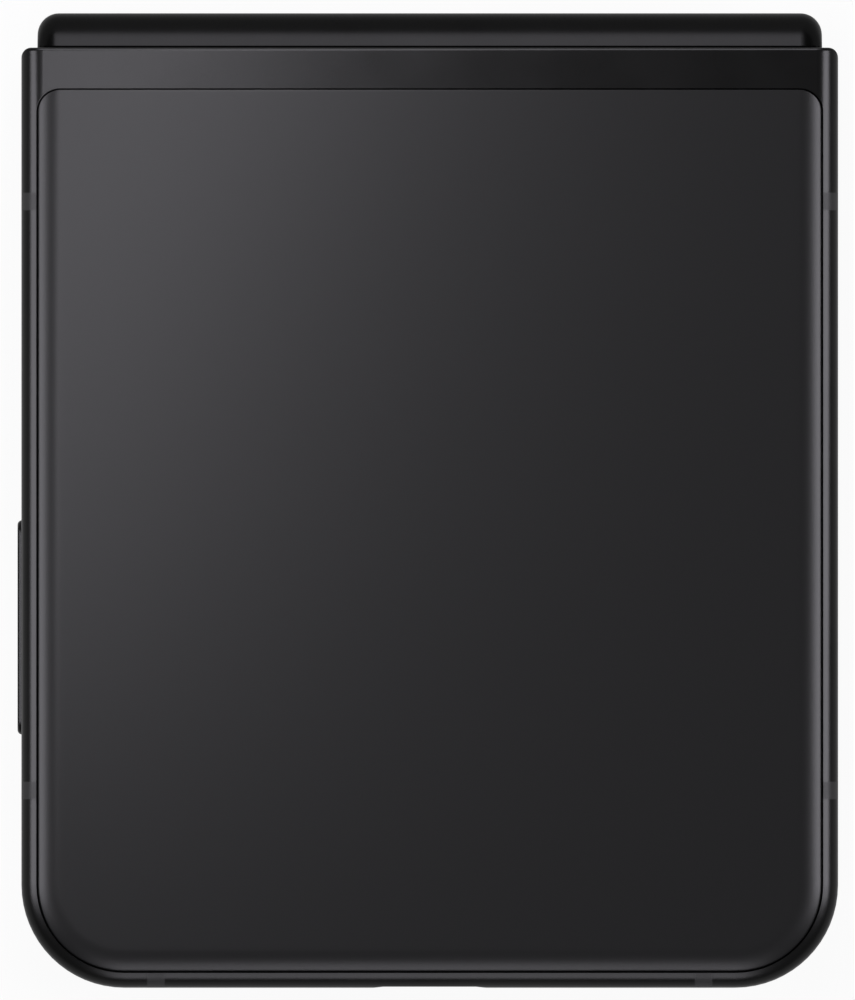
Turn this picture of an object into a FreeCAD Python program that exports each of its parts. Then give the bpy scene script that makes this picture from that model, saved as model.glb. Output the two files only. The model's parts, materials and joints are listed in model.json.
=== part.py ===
"""Foldable phone, modelled folded shut as an assembly of separate pieces, in millimetres.

Frame: X runs across the phone, +Y points out of the hinge spine, +Z is up. The phone lies on its
cover half (the half with the small outer screen and the cameras), so the main half is on top.
The origin is under the middle of the folded phone, on the surface that it lies on.

Each half is modelled in its own frame: the big screen's surface is at depth 0 and depth grows
towards the half's back. The cover half is turned half a turn about Y, so its local X is reversed.
Each half turns about its own hidden axis in the spine. Curved tongues on its hinge leaf run in
curved slots of the spine, and a train of small gears keeps the two halves in step.
"""
import FreeCAD
import Part
import Sketcher
import math
import os
import re

Vector = FreeCAD.Vector
OUT_FOLDER = "parts"

# Driving sizes, in millimetres unless the name says otherwise
SIZES = {
    # whole phone
    "phone_wide": 72.2, "half_long": 83.1, "half_thick": 6.9, "fold_gap": 2.7, "corner_round": 9.1,
    "lens_proud": 0.5,
    # metal frame of each half
    "rim_round": 1.9, "face_round": 0.7, "rim_drop": 0.15, "hinge_edge_round": 0.3, "hinge_corner_round": 0.9,
    "strip_wide": 3.6, "strip_thick": 0.8, "midplate_thick": 0.8, "ledge_wide": 1.1,
    # rear glass panels
    "panel_inset": 1.33, "panel_gap": 0.14, "panel_thick": 0.6, "panel_edge_round": 0.55,
    "panel_near_round": 2.0, "window_long": 31.0, "window_gap": 0.12, "seam_round": 0.7,
    # folding screen and its raised border
    "screen_thick": 0.5, "screen_inset": 1.9, "border_high": 1.0, "border_wide": 2.3,
    "border_setback": 4.6, "border_lip": 0.75, "bumper_high": 0.3, "bumper_long": 5.0,
    "bumper_wide": 1.0, "bumper_share": 0.6,
    # hinge spine
    "spine_wide": 69.4, "spine_reveal": 3.1, "spine_clear": 0.2, "edge_gap": 0.08, "spine_wall": 0.6,
    "spine_tuck": 0.5, "spine_end_round": 1.9, "spine_end_thick": 1.6,
    # hinge leaves, tongues and slots
    "leaf_thick": 1.2, "leaf_long": 6.4, "leaf_start": 5.6, "leaf_tab_long": 4.0, "leaf_tab_thick": 0.6,
    "leaf_gap": 0.1, "leaf_side_gap": 0.9, "support_thick": 0.25, "support_start": 2.3,
    "arm_depth": 0.95, "arm_thick": 0.95,
    "base_clear": 0.2, "base_half": 4.9, "base_side": 1.95, "horn_near": 2.0, "horn_far": 3.4,
    "loop_clear": 0.15, "tongue_in": 1.45, "tongue_thick": 0.75, "tongue_wide": 6.0, "slot_clear": 0.06,
    "cheek_wide": 1.2, "tongue_place": 22.0, "tongue_start": -155, "tongue_sweep": 135,
    # gear train that keeps the halves in step
    "gear_module": 0.2, "sector_teeth": 19, "pinion_teeth": 11, "tooth_tip_share": 0.65,
    "tooth_root_share": 0.85, "tooth_slope": 20, "tooth_play": 0.12, "sector_hole": 1.0,
    "pinion_angle": 66.75, "gear_wide": 3.0, "sector_start": -165, "sector_sweep": 145,
    "sector_teeth_start": -162, "sector_teeth_end": -50, "sector_link_start": -45,
    "sector_link_sweep": 25, "gear_side_clear": 0.15, "gear_pin": 0.35, "pin_clear": 0.04,
    "gear_cheek_wide": 0.8,
    # keys on the cover half
    "key_wide": 2.3, "key_proud": 0.45, "key_clear": 0.12, "key_thick": 1.3, "key_round_share": 0.48,
    "key_edge_round": 0.4, "key_post": 0.5, "volume_long": 19.0, "volume_share": 0.383,
    "volume_dome_place": 5.5, "power_long": 13.0, "power_share": 0.62, "power_sink": 0.25,
    "key_travel": 0.25, "dome_long": 3.0, "dome_wide": 2.0, "dome_thick": 0.4, "dome_strip_thick": 0.3,
    # card tray
    "tray_long": 14.0, "tray_share": 0.554, "tray_high": 1.6, "tray_deep": 19.0, "tray_lip_thick": 1.2,
    "tray_clear": 0.1, "tray_plate_thick": 0.8, "tray_shoulder": 0.6, "card_long": 12.4,
    "card_wide": 8.9, "card_start": 3.0, "cage_wall": 0.2, "tray_pin_hole": 0.45,
    # charging socket
    "socket_wide": 8.94, "socket_high": 3.16, "socket_wall": 0.3, "socket_deep": 6.6,
    "tongue_plate_wide": 6.7, "tongue_plate_thick": 0.7, "tongue_plate_long": 4.6, "socket_clear": 0.05,
    "socket_set_in": 0.25, "socket_relief_deep": 0.1, "socket_relief_ease": 0.9,
    "socket_relief_wide": 8.2, "socket_back_thick": 1.6,
    # sound outlets
    "sound_hole": 0.5, "sound_hole_gap": 1.9, "sound_hole_place": 10.5, "mic_hole": 0.4,
    "mic_place": 9.0,
    # antenna splits
    "split_wide": 1.55, "split_side_far": 17.45, "split_side_near": 13.6, "split_end_place": 11.9,
    "split_deep": 1.33,
    # outer cameras and light
    "lens_round": 5.6, "lens_hole": 4.7, "lens_ring_tall": 1.5, "lens_glass_thick": 0.6,
    "lens_pitch": 14.2, "lens_side": 11.5, "lens_far": 9.6, "camera_wide": 8.4, "camera_deep": 3.4,
    "camera_barrel": 3.8, "lens_glass_sink": 0.15, "lamp_round": 1.7,
    # outer screen
    "cover_screen_thick": 0.5, "small_screen_margin": 3.5, "small_screen_gap": 1.1,
    "small_screen_rest": 7.5, "cover_screen_far": 8.0,
    # boards, cells and other innards
    "inner_clear": 0.2, "cell_thick": 4.3, "cell_round": 1.0, "cell_gap": 0.5, "cell_margin": 5.7,
    "cell_far_gap": 2.0, "board_thick": 0.8, "board_share": 0.506, "board_margin": 0.7,
    "shield_margin": 3.0, "main_board_far": 8.5, "sub_board_far": 7.4, "sub_board_long": 13.6,
    "sub_board_wide": 20.0, "shield_wide": 36.0, "shield_side": 2.97, "shield_far": 11.0,
    "shield_thick": 1.2, "coil_hole": 9.0, "coil_share": 0.437, "coil_thick": 0.3, "speaker_long": 13.0,
    "speaker_wide": 18.0, "speaker_side": 10.8, "speaker_thick": 4.0, "speaker_far": 2.8,
    "motor_round": 4.0, "motor_thick": 3.0, "motor_side": 9.67, "motor_far": 10.0, "punch_hole": 1.7,
    "selfie_wide": 4.6, "selfie_far": 5.2, "selfie_deep": 2.6, "earpiece_long": 5.0,
    "earpiece_wide": 12.0, "earpiece_thick": 2.0, "earpiece_side": 16.0, "earpiece_far": 2.8,
    # screws
    "screw_head": 1.1, "screw_head_thick": 0.5, "screw_shank": 0.6, "screw_long": 1.3,
    # one overrun for every cut that has to pass right through
    "overrun": 1.0,
}

# Places and sizes that follow from the driving ones
LAYOUT = {
    "half_wide": "phone_wide / 2",
    "far_end": "-(half_long + spine_reveal) / 2",
    "hinge_end": "far_end + half_long",
    "mid_level": "lens_proud + half_thick + fold_gap / 2",
    "main_face": "mid_level + fold_gap / 2",
    "cover_face": "mid_level - fold_gap / 2",
    "frame_back": "half_thick - rim_drop",
    "strip_under": "half_thick - strip_thick",
    "pivot": "(strip_under - spine_clear - spine_reveal + fold_gap / 2) / 2",
    "pivot_y": "hinge_end - pivot + edge_gap",
    "spine_tip": "hinge_end + spine_reveal",
    "spine_round": "spine_reveal + pivot - edge_gap",
    "spine_room_half": "spine_wide / 2 + 2 * spine_clear",
    "bay_end": "hinge_end - leaf_start - leaf_long",
    "recess_half": "half_wide - panel_inset",
    "recess_far": "far_end + panel_inset",
    "recess_near": "hinge_end - strip_wide",
    "recess_round": "corner_round - panel_inset",
    "recess_floor": "half_thick - panel_thick",
    "panel_half": "recess_half - panel_gap",
    "panel_far": "recess_far + panel_gap",
    "panel_near": "recess_near - panel_gap",
    "panel_round": "recess_round - panel_gap",
    "cavity_half": "recess_half - ledge_wide",
    "cavity_far": "recess_far + ledge_wide",
    "cavity_near": "recess_near - ledge_wide",
    "cavity_round": "recess_round - ledge_wide",
    "cavity_near_round": "panel_near_round - ledge_wide",
    "cavity_floor": "screen_thick + midplate_thick",
    "window_near": "panel_far + window_long",
    "screen_half": "half_wide - screen_inset",
    "screen_far": "far_end + screen_inset",
    "screen_near": "hinge_end - pi * fold_gap / 4",
    "screen_round": "corner_round - screen_inset",
    "bay_half": "max(spine_room_half; screen_half + leaf_side_gap)",
    "border_half": "half_wide - border_lip",
    "border_far": "far_end + border_lip",
    "border_near": "hinge_end - border_setback",
    "border_round": "corner_round - border_lip",
    "border_hole_half": "border_half - border_wide",
    "border_hole_far": "border_far + border_wide",
    "border_hole_round": "border_round - border_wide",
    "screen_seat_near": "bay_end + overrun",
    "border_hole_near": "border_near + overrun",
    "pivot_depth": "pivot - fold_gap / 2",
    "arm_start": "pivot + tongue_in + base_clear",
    "loop_tip": "screen_near + fold_gap / 2 + screen_thick",
    "base_mid_y": "loop_tip + loop_clear",
    "base_side_y": "pivot_y + arm_depth + arm_thick + base_clear - pivot_depth",
    "horn_y": "pivot_y + arm_depth - pivot_depth",
    "spine_in_round": "spine_round - spine_wall",
    "tongue_out": "tongue_in + tongue_thick",
    "side_middle": "half_thick / 2",
    "split_end_x": "half_wide - split_end_place",
    "key_round": "key_wide * key_round_share",
    "key_slot_round": "key_round + key_clear",
    "volume_y": "far_end + half_long * volume_share",
    "power_y": "far_end + half_long * power_share",
    "tray_y": "far_end + half_long * tray_share",
    "tray_round": "tray_high * key_round_share",
    "tray_slot_round": "tray_round + tray_clear",
    "tray_plate_long": "tray_long - 2 * tray_shoulder",
    "socket_round": "socket_high * key_round_share",
    "socket_hole_round": "socket_round + socket_clear",
    "socket_bore_round": "socket_round - socket_wall",
    "cell_end": "bay_end - leaf_tab_long - cell_gap",
    "main_cell_y": "far_end + sub_board_far + sub_board_long + cell_far_gap",
    "main_cell_long": "cell_end - main_cell_y",
    "main_cell_half": "cavity_half - cell_margin",
    "coil_round": "main_cell_long * coil_share",
    "main_board_half": "cavity_half - board_margin",
    "main_board_end": "far_end + half_long * board_share",
    "cover_cell_y": "main_board_end + cell_gap",
    "cover_cell_left": "-half_wide + tray_lip_thick + tray_deep + tray_clear + cage_wall + cell_gap",
    "cover_cell_right": "cavity_half - dome_thick - dome_strip_thick - cell_gap",
    "small_screen_left": "-cavity_half + small_screen_margin",
    "lens_x": "half_wide - lens_side",
    "small_screen_right": "lens_x - lens_round - 3 * lamp_round - small_screen_gap",
    "small_screen_y": "far_end + cover_screen_far",
    "lens_tip": "half_thick + lens_proud",
    "lens_ring_foot": "lens_tip - lens_ring_tall",
    "spine_half": "spine_wide / 2",
    "spine_open_y": "hinge_end - spine_tuck",
    "base_round": "spine_in_round - slot_clear",
    "rear_panel_far": "window_near + window_gap",
    "tooth_tip": "tooth_tip_share * gear_module",
    "tooth_root": "tooth_root_share * gear_module",
    "tooth_wide": "pi * gear_module / 2 - tooth_play / 2",
    "sector_pitch": "sector_teeth * gear_module / 2",
    "pinion_pitch": "pinion_teeth * gear_module / 2",
    "outer_pinion_y": "pivot_y + (sector_pitch + pinion_pitch) * sin(pinion_angle)",
    "outer_pinion_out": "pivot + (sector_pitch + pinion_pitch) * cos(pinion_angle)",
    "idler_y": "outer_pinion_y + sqrt(4 * pinion_pitch ^ 2 - (outer_pinion_out - pinion_pitch) ^ 2)",
}

doc = FreeCAD.newDocument("foldable_phone")
sizes = doc.addObject("Spreadsheet::Sheet", "Sizes")
layout = doc.addObject("Spreadsheet::Sheet", "Layout")


def in_sheet(formula):
    """A formula in plain size names, with each name pointed at its cell."""
    def cell(match):
        name = match.group(0)
        if name in SIZES:
            return "Sizes." + name
        if name in LAYOUT:
            return "Layout." + name
        return name
    return re.sub(r"[a-z][a-z_0-9]*", cell, formula)


def fill_sheets():
    for row, (name, value) in enumerate(SIZES.items(), start=1):
        sizes.set(f"A{row}", name)
        sizes.set(f"B{row}", str(value))
        sizes.setAlias(f"B{row}", name)
    doc.recompute()
    for row, (name, formula) in enumerate(LAYOUT.items(), start=1):
        layout.set(f"A{row}", name)
        layout.setAlias(f"B{row}", name)
    for row, (name, formula) in enumerate(LAYOUT.items(), start=1):
        layout.set(f"B{row}", "=" + in_sheet(formula))
    doc.recompute()


def size(name):
    """The number in a named cell."""
    return float((sizes if name in SIZES else layout).get(name))


def bind(thing, formulas):
    """Ties properties of an object to formulas in size names."""
    for place, formula in formulas.items():
        thing.setExpression(place, in_sheet(formula))
    return thing


fill_sheets()

PIECES = {}


def piece(label, thing):
    """Names a finished sub-part."""
    thing.Label = label
    PIECES[label] = thing
    return thing


class Frame:
    """Where a group of pieces is modelled: a half's own frame, or the spine's."""

    def __init__(self, name, level, flipped=False):
        self.name = name
        self.level = level
        self.sign = "-" if flipped else ""
        self.turn = FreeCAD.Rotation(Vector(0, 1, 0), 180 if flipped else 0)

    def place(self, thing, x="0", y="0", depth="0", turn=None):
        """Puts an object's own origin at a point of this frame."""
        rotation = self.turn if turn is None else self.turn.multiply(turn)
        thing.Placement = FreeCAD.Placement(Vector(), rotation)
        return bind(thing, {
            "Placement.Base.x": f"{self.sign}({x})",
            "Placement.Base.y": y,
            "Placement.Base.z": f"{self.level} + {self.sign}({depth})",
        })

    def numeric(self):
        """This frame as a placement made of numbers, for shapes that are built in code."""
        return FreeCAD.Placement(Vector(0, 0, size(self.level)), self.turn)


MAIN = Frame("main", "main_face")
COVER = Frame("cover", "cover_face", flipped=True)
SPINE = Frame("spine", "mid_level")
ALONG_X = FreeCAD.Rotation(Vector(0, 1, 0), 90)
ALONG_Y = FreeCAD.Rotation(Vector(1, 0, 0), -90)


def box(frame, name, x, y, depth, wide, long, thick):
    """A block from its lowest corner and its three sizes."""
    thing = doc.addObject("Part::Box", name)
    bind(thing, {"Length": wide, "Width": long, "Height": thick})
    return frame.place(thing, x, y, depth)


def disc(frame, name, x, y, depth, radius, tall, turn=None):
    """A cylinder that rises from a point along depth, or along a turned axis."""
    thing = doc.addObject("Part::Cylinder", name)
    bind(thing, {"Radius": radius, "Height": tall})
    return frame.place(thing, x, y, depth, turn)


def cut(name, base, *tools):
    """What is left of base when the tools are taken out of it."""
    thing = doc.addObject("Part::Cut", name)
    thing.Base = base
    thing.Tool = tools[0] if len(tools) == 1 else fuse(name + "_tools", *tools)
    return thing


def fuse(name, *things):
    thing = doc.addObject("Part::MultiFuse", name)
    thing.Shapes = list(things)
    return thing


def group(name, *things):
    """Several equal pieces that stay separate solids in one sub-part."""
    thing = doc.addObject("Part::Compound", name)
    thing.Links = list(things)
    return thing


def rounded(name, base, radius, test):
    """Rounds the edges of a finished object whose middle point passes the test."""
    doc.recompute()
    thing = doc.addObject("Part::Fillet", name)
    thing.Base = base
    limit = size(radius)
    chosen = [
        (number, limit, limit)
        for number, edge in enumerate(base.Shape.Edges, start=1)
        if test(edge)
    ]
    thing.Edges = chosen
    return thing


def origin_plane(body, role):
    return next(f for f in body.Origin.OriginFeatures if f.Role == role)


def outline(body, name, half, far, near, far_round, near_round=None, level="0"):
    """A sketch of a phone-shaped outline, with round corners at the far end.

    The corners near the hinge are round or sharp. The arguments are cell names, and level is a formula
    for the sketch's height.
    """
    sketch = body.newObject("Sketcher::SketchObject", name)
    sketch.AttachmentSupport = [(origin_plane(body, "XY_Plane"), "")]
    sketch.MapMode = "FlatFace"
    bind(sketch, {"AttachmentOffset.Base.z": level})
    right, low, high = size(half), size(far), size(near)
    low_r = size(far_round)
    high_r = size(near_round) if near_round else 0.0
    up, quarter = Vector(0, 0, 1), math.pi / 2

    def arc(x, y, radius, start):
        circle = Part.Circle(Vector(x, y, 0), up, radius)
        return sketch.addGeometry(Part.ArcOfCircle(circle, start, start + quarter), False)

    def line(x0, y0, x1, y1):
        return sketch.addGeometry(Part.LineSegment(Vector(x0, y0, 0), Vector(x1, y1, 0)), False)

    far_line = line(-right + low_r, low, right - low_r, low)
    far_right = arc(right - low_r, low + low_r, low_r, -quarter)
    side_right = line(right, low + low_r, right, high - high_r)
    loop = [far_line, far_right, side_right]
    if near_round:
        near_right = arc(right - high_r, high - high_r, high_r, 0)
        loop.append(near_right)
    near_line = line(right - high_r, high, -right + high_r, high)
    loop.append(near_line)
    if near_round:
        near_left = arc(-right + high_r, high - high_r, high_r, quarter)
        loop.append(near_left)
    side_left = line(-right, high - high_r, -right, low + low_r)
    far_left = arc(-right + low_r, low + low_r, low_r, 2 * quarter)
    loop += [side_left, far_left]
    arcs = {far_right, far_left} | ({near_right, near_left} if near_round else set())
    for this, following in zip(loop, loop[1:] + loop[:1]):
        kind = "Tangent" if this in arcs or following in arcs else "Coincident"
        sketch.addConstraint(Sketcher.Constraint(kind, this, 2, following, 1))
    for kind, item in (("Horizontal", far_line), ("Horizontal", near_line), ("Vertical", side_right)):
        sketch.addConstraint(Sketcher.Constraint(kind, item))
    if not near_round:
        sketch.addConstraint(Sketcher.Constraint("Vertical", side_left))
    sketch.addConstraint(Sketcher.Constraint("Equal", far_right, far_left))
    if near_round:
        sketch.addConstraint(Sketcher.Constraint("Equal", near_right, near_left))

    def dimension(label, formula, *parts):
        index = sketch.addConstraint(Sketcher.Constraint(*parts))
        sketch.renameConstraint(index, label)
        bind(sketch, {f"Constraints.{label}": formula})

    dimension("right_side", half, "DistanceX", -1, 1, side_right, 1, right)
    dimension("left_side", half, "DistanceX", side_left, 1, -1, 1, right)
    dimension("far_side", far, "DistanceY", -1, 1, far_line, 1, low)
    dimension("near_side", near, "DistanceY", -1, 1, near_line, 1, high)
    dimension("far_corner", far_round, "Radius", far_right, low_r)
    if near_round:
        dimension("near_corner", near_round, "Radius", near_right, high_r)
    return sketch


def pad(body, name, sketch, length):
    feature = body.newObject("PartDesign::Pad", name)
    feature.Profile = sketch
    sketch.Visibility = False
    return bind(feature, {"Length": length})


def pocket(body, name, sketch, length):
    """Cuts an outline upwards from its sketch, towards the back of the half."""
    feature = body.newObject("PartDesign::Pocket", name)
    feature.Profile = sketch
    feature.Reversed = True
    return bind(feature, {"Length": length})


def edge_round(body, name, base, radius, test):
    """Rounds the edges of a body's last feature whose middle point passes the test."""
    doc.recompute()
    feature = body.newObject("PartDesign::Fillet", name)
    names = [f"Edge{i}" for i, e in enumerate(base.Shape.Edges, start=1) if test(e)]
    feature.Base = (base, names)
    return bind(feature, {"Radius": radius})


def middle(edge):
    first, last = edge.ParameterRange
    return edge.valueAt((first + last) / 2)


def near_to(value, target):
    return abs(value - target) < 1e-4


# The halves' frames, rear panels, screens and borders

def half_blank(frame):
    """The outside of a half's metal frame, solid right through, with its hinge corners rounded last."""
    name = frame.name
    body = doc.addObject("PartDesign::Body", name + "_block")
    sketch = outline(body, name + "_block_outline", "half_wide", "far_end", "hinge_end", "corner_round")
    back = pad(body, name + "_block_pad", sketch, "frame_back")
    hinge, top = size("hinge_end"), size("frame_back")

    def along_side(level):
        return lambda e: near_to(middle(e).z, level) and not near_to(middle(e).y, hinge)

    rim = edge_round(body, name + "_rim", back, "rim_round", along_side(top))
    face = edge_round(body, name + "_face", rim, "face_round", along_side(0))
    edge_round(body, name + "_hinge_edge", face, "hinge_edge_round",
               lambda e: near_to(middle(e).y, hinge) and not near_to(middle(e).z, 0))
    limit = doc.addObject("PartDesign::Body", name + "_limit")
    pad(limit, name + "_limit_pad",
        outline(limit, name + "_limit_outline", "half_wide", "far_end", "hinge_end", "corner_round",
                "hinge_corner_round", "-overrun"), "frame_back + 2 * overrun")
    return common(name + "_blank", frame.place(body), frame.place(limit))


def half_hollow(frame):
    """The space inside a half: panel recess, inner room, screen seat and the bay for the hinge."""
    name = frame.name
    recess = doc.addObject("PartDesign::Body", name + "_recess")
    pad(recess, name + "_recess_pad",
        outline(recess, name + "_recess_outline", "recess_half", "recess_far", "recess_near", "recess_round",
                "panel_near_round", "recess_floor"), "panel_thick + overrun")
    cavity = doc.addObject("PartDesign::Body", name + "_cavity")
    pad(cavity, name + "_cavity_pad",
        outline(cavity, name + "_cavity_outline", "cavity_half", "cavity_far", "cavity_near", "cavity_round",
                "cavity_near_round", "cavity_floor"), "half_thick")
    seat = doc.addObject("PartDesign::Body", name + "_seat")
    pad(seat, name + "_seat_pad",
        outline(seat, name + "_seat_outline", "screen_half", "screen_far", "screen_seat_near",
                "screen_round", None, "-overrun"), "screen_thick + overrun")
    bay = box(frame, name + "_bay", "-bay_half", "bay_end", "-overrun",
              "2 * bay_half", "hinge_end - bay_end + overrun", "strip_under + overrun")
    return [frame.place(recess), frame.place(cavity), frame.place(seat), bay]


def splits(frame, blank):
    """Plastic breaks let into the frame's rim, so that the metal on each side can work as an aerial."""
    name = frame.name
    blocks = []
    for word, place in (("far", "far_end + split_side_far"), ("near", "hinge_end - split_side_near")):
        for side, start in (("left", "-half_wide - overrun"), ("right", "half_wide - split_deep")):
            blocks.append(box(frame, f"{name}_split_{word}_{side}", start, f"{place} - split_wide / 2",
                              "-overrun", "split_deep + overrun", "split_wide", "half_thick + 2 * overrun"))
    for side, sign in (("left", "-"), ("right", "")):
        blocks.append(box(frame, f"{name}_split_end_{side}", f"{sign}split_end_x - split_wide / 2",
                          "far_end - overrun", "-overrun", "split_wide", "split_deep + overrun",
                          "half_thick + 2 * overrun"))
    inlays = []
    for block in blocks:
        inlay = doc.addObject("Part::Common", block.Name + "_inlay")
        inlay.Base = block
        inlay.Tool = blank
        inlays.append(inlay)
    piece(name + "_antenna_splits", group(name + "_splits", *inlays))
    return blocks


def flat_panel(frame, label, near, far="panel_far", far_round="panel_round", near_round="panel_near_round"):
    """A rear glass panel, rounded over along its outer edge."""
    body = doc.addObject("PartDesign::Body", label + "_body")
    sketch = outline(body, label + "_outline", "panel_half", far, near, far_round, near_round,
                     "recess_floor")
    glass = pad(body, label + "_pad", sketch, "panel_thick")
    top = size("half_thick")
    edge_round(body, label + "_edge", glass, "panel_edge_round", lambda e: near_to(middle(e).z, top))
    return frame.place(body)


def big_screen(frame):
    """The stiff part of the folding screen on one half, glued to the frame and the hinge leaf."""
    label = frame.name + "_screen"
    body = doc.addObject("PartDesign::Body", label + "_body")
    pad(body, label + "_pad",
        outline(body, label + "_outline", "screen_half", "screen_far", "screen_near", "screen_round"),
        "screen_thick")
    return frame.place(body)


def border(frame):
    """The raised border round the screen, open towards the hinge, and a soft stop near each far corner."""
    label = frame.name + "_border"
    body = doc.addObject("PartDesign::Body", label + "_body")
    pad(body, label + "_pad",
        outline(body, label + "_outline", "border_half", "border_far", "border_near", "border_round",
                None, "-border_high"), "border_high")
    pocket(body, label + "_hole",
           outline(body, label + "_hole_outline", "border_hole_half", "border_hole_far", "border_hole_near",
                   "border_hole_round", None, "-border_high"), "border_high")
    piece(label, frame.place(body))
    stops = [
        box(frame, f"{frame.name}_bumper_{side}", f"{sign}half_wide * bumper_share - bumper_long / 2",
            "border_far + border_wide / 2 - bumper_wide / 2", "-border_high - bumper_high",
            "bumper_long", "bumper_wide", "bumper_high")
        for side, sign in (("left", "-"), ("right", ""))
    ]
    piece(frame.name + "_bumpers", group(frame.name + "_bumper_pair", *stops))


# The hinge leaves: plates under the screen whose curved tongues run in the spine's slots

def turned(start_degrees):
    """A cylinder lying along X whose swept angle starts at this angle.

    The angle is counted from the way into the half, turning towards the screen.
    """
    return ALONG_X.multiply(FreeCAD.Rotation(Vector(0, 0, 1), start_degrees - 90))


def sector(frame, name, x, y, depth, inner, outer, wide, start, sweep):
    """A curved bar about a line along X. start and sweep are cell names or plain angles in degrees."""
    start_degrees = size(start) if start in SIZES else start
    solid = disc(frame, name + "_out", x, y, depth, outer, wide, turned(start_degrees))
    bind(solid, {"Angle": str(sweep)})
    hole = disc(frame, name + "_in", f"{x} - overrun", y, depth, inner, f"{wide} + 2 * overrun", turned(0))
    return cut(name, solid, hole)


def hinge_leaf(frame):
    name = frame.name + "_leaf"
    plate = box(frame, name + "_plate", "-screen_half", "bay_end + leaf_gap", "screen_thick",
                "2 * screen_half", "leaf_long - leaf_gap", "leaf_thick")
    support = box(frame, name + "_support", "-screen_half", "bay_end + leaf_gap", "screen_thick",
                  "2 * screen_half", "leaf_start + leaf_long - leaf_gap - support_start", "support_thick")
    parts = [plate, support]
    for side, sign in (("left", "-"), ("right", "")):
        start = f"{sign}tongue_place - tongue_wide / 2"
        parts.append(box(frame, f"{name}_tab_{side}", start, "bay_end - leaf_tab_long", "cavity_floor",
                         "tongue_wide", "leaf_tab_long + leaf_long / 2", "leaf_tab_thick"))
        parts.append(box(frame, f"{name}_arm_{side}", start, "bay_end + leaf_gap", "arm_depth",
                         "tongue_wide", "hinge_end - arm_start - bay_end - leaf_gap", "arm_thick"))
        parts.append(sector(frame, f"{name}_tongue_{side}", start, "pivot_y", "pivot_depth", "tongue_in",
                            "tongue_out", "tongue_wide", "tongue_start", "tongue_sweep"))
    return fuse(name, *parts, *gear_sector(frame, name))


def gear_sector(frame, name):
    """The toothed sector in the middle of a leaf, and the arm that carries it."""
    start, turn = "-gear_wide / 2", ("pivot_y", "pivot_depth", "sector_hole")
    arm = box(frame, name + "_gear_arm", start, "bay_end + leaf_gap", "arm_depth", "gear_wide",
              "hinge_end - arm_start - bay_end - leaf_gap", "arm_thick")
    ring = sector(frame, name + "_gear_ring", start, *turn, "sector_pitch - tooth_root", "gear_wide",
                  "sector_start", "sector_sweep")
    link = sector(frame, name + "_gear_link", start, *turn, "sector_pitch + tooth_tip", "gear_wide",
                  "sector_link_start", "sector_link_sweep")
    wheel = frame.name + "_sector"
    angles = []
    for number in range(int(size("sector_teeth"))):
        angle = tooth_phases()[wheel] + 360 / size("sector_teeth") * number
        on_leaf = (180 - angle) if frame is COVER else (angle - 180)
        on_leaf = (on_leaf + 180) % 360 - 180
        if size("sector_teeth_start") < on_leaf < size("sector_teeth_end"):
            angles.append(angle)
    return [arm, ring, link, *teeth_of(wheel, "sector_pitch", angles)]


# The pieces that work through the frame's side walls: keys, card tray and charging socket

def runs_along(axis):
    """A test for straight edges that lie along this direction."""
    def test(edge):
        straight = isinstance(edge.Curve, Part.Line)
        return straight and abs(edge.tangentAt(edge.FirstParameter).dot(axis)) > 1 - 1e-6
    return test


ACROSS, LENGTHWISE, UPRIGHT = Vector(1, 0, 0), Vector(0, 1, 0), Vector(0, 0, 1)


def pill(frame, name, x, y, depth, wide, long, thick, radius, axis):
    """A block whose edges along one axis are rounded."""
    block = box(frame, name + "_block", x, y, depth, wide, long, thick)
    return rounded(name, block, radius, runs_along(axis))


def key(label, place, long, outer, posts):
    """A side key of the cover half, and its slot. outer is where its cap ends, and posts place its feet."""
    blank = pill(COVER, label + "_cap", f"{outer} - key_thick", f"{place} - {long} / 2",
                 "side_middle - key_wide / 2", "key_thick", long, "key_wide", "key_round", ACROSS)
    cap = rounded(label + "_cap_edge", blank, "key_edge_round",
                  lambda e: near_to(middle(e).x, blank.Shape.BoundBox.XMin))
    feet = [
        disc(COVER, f"{label}_foot_{number}", "cavity_half + key_travel", f"{place} + {post}", "side_middle",
             "key_post", f"{outer} - key_thick - cavity_half - key_travel + key_thick / 2", ALONG_X)
        for number, post in enumerate(posts)
    ]
    piece(label, fuse(label, cap, *feet))
    domes = [
        box(COVER, f"{label}_dome_{number}", "cavity_half - dome_thick", f"{place} + {post} - dome_long / 2",
            "side_middle - dome_wide / 2", "dome_thick", "dome_long", "dome_wide")
        for number, post in enumerate(posts)
    ]
    strip = box(COVER, label + "_strip", "cavity_half - dome_thick - dome_strip_thick",
                f"{place} - {long} / 2", "cavity_floor", "dome_strip_thick", long,
                "side_middle + dome_wide / 2 - cavity_floor")
    piece(label + "_switches", fuse(label + "_switches", strip, *domes))
    return pill(COVER, label + "_slot", "cavity_half - overrun", f"{place} - {long} / 2 - key_clear",
                "side_middle - key_wide / 2 - key_clear", "half_wide - cavity_half + 2 * overrun",
                f"{long} + 2 * key_clear", "key_wide + 2 * key_clear", "key_slot_round", ACROSS)


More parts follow.
